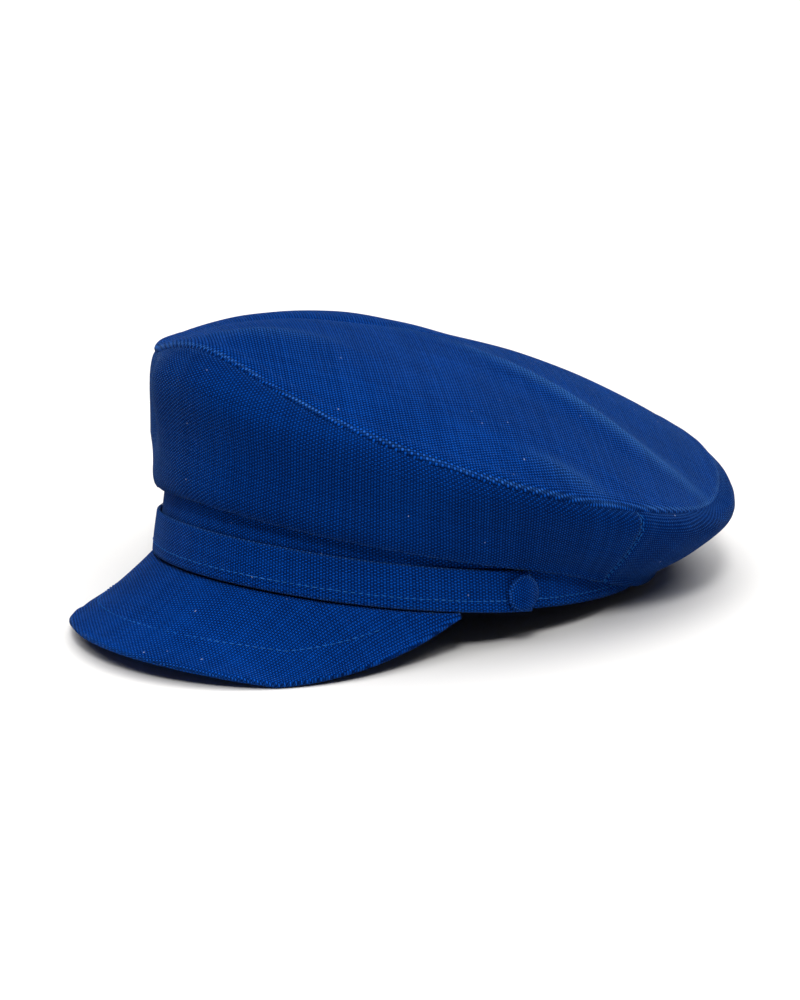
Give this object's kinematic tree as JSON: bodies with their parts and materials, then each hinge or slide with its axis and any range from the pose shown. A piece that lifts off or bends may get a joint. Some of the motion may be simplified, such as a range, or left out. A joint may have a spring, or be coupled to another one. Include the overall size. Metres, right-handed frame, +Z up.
{
  "type": "greek fisherman cap",
  "caption": "Soft canvas fisherman cap with a tall-fronted slouching crown, head band, front strap on two covered buttons and a short curved peak.",
  "frame": {"origin": "middle of the cap's box in plan, on the surface that it rests on", "axes": "+Z up from the surface, -Y toward the peak, +X toward the wearer's left, as the cap lies on its peak and the back of its band"},
  "size_m": [0.2044, 0.2726, 0.1068],
  "materials": {
    "crown_canvas": "matte cobalt blue plain-weave canvas",
    "trim_canvas": "matte cobalt blue canvas, topstitched",
    "button_canvas": "finer blue cloth drawn over a domed button"
  },
  "bodies": {
    "root": {"band": "trim_canvas", "strap": "trim_canvas", "peak": "trim_canvas", "button_left": "button_canvas", "button_right": "button_canvas", "crown_front": "crown_canvas", "crown_back": "crown_canvas", "crown_top": "crown_canvas"}
  },
  "joints": []
}
